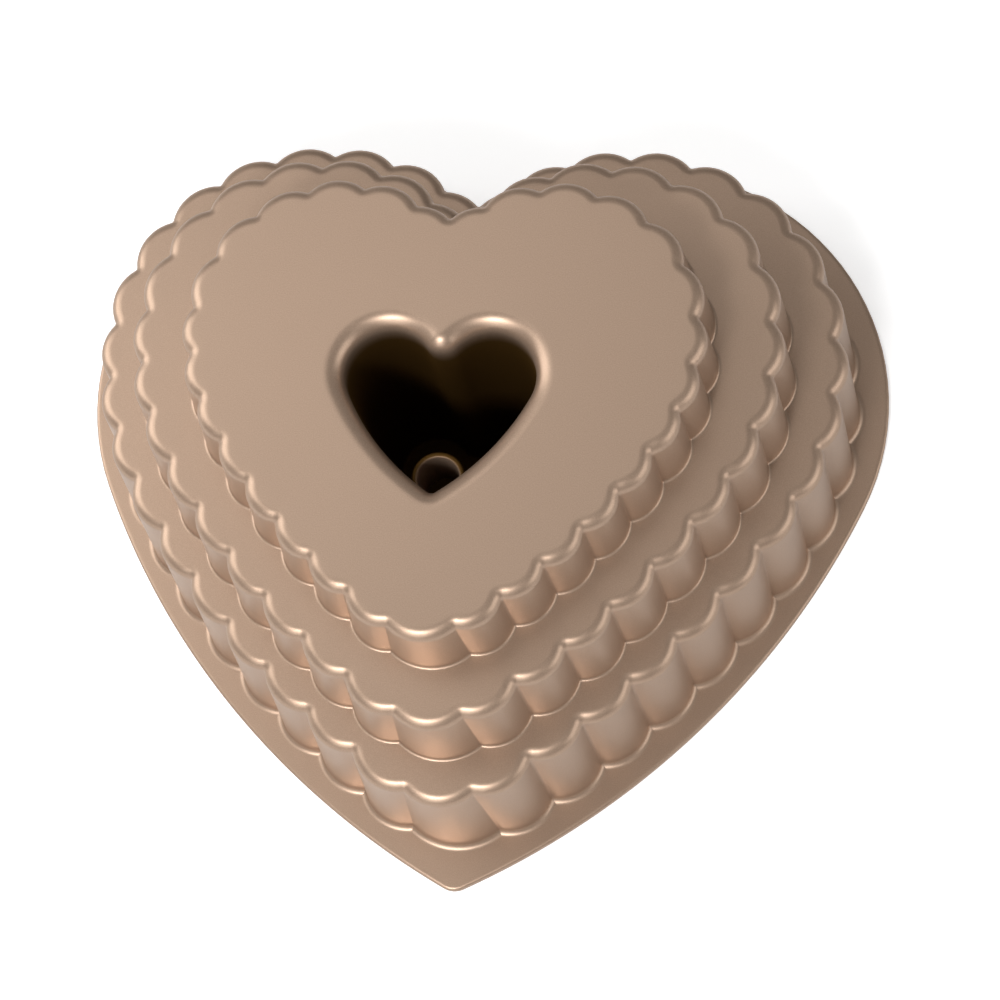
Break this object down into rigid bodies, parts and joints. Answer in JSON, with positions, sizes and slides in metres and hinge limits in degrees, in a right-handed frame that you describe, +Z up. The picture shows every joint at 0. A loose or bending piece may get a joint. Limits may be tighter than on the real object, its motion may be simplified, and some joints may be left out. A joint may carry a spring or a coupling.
{
  "type": "heart fluted tube pan",
  "caption": "Heart-shaped tiered cake pan in coated cast metal, with scalloped walls and a heart-shaped tube, resting on its flat rim.",
  "frame": {"origin": "centre of the footprint, on the surface that the rim rests on", "axes": "+Z up through the flat top, -Y toward the heart's point, +Y toward its cleft, X across the mirror plane"},
  "size_m": [0.2718, 0.2526, 0.112],
  "materials": {
    "coated_casting": "satin metallic champagne coat"
  },
  "bodies": {
    "root": {"pan": "coated_casting"}
  },
  "joints": []
}
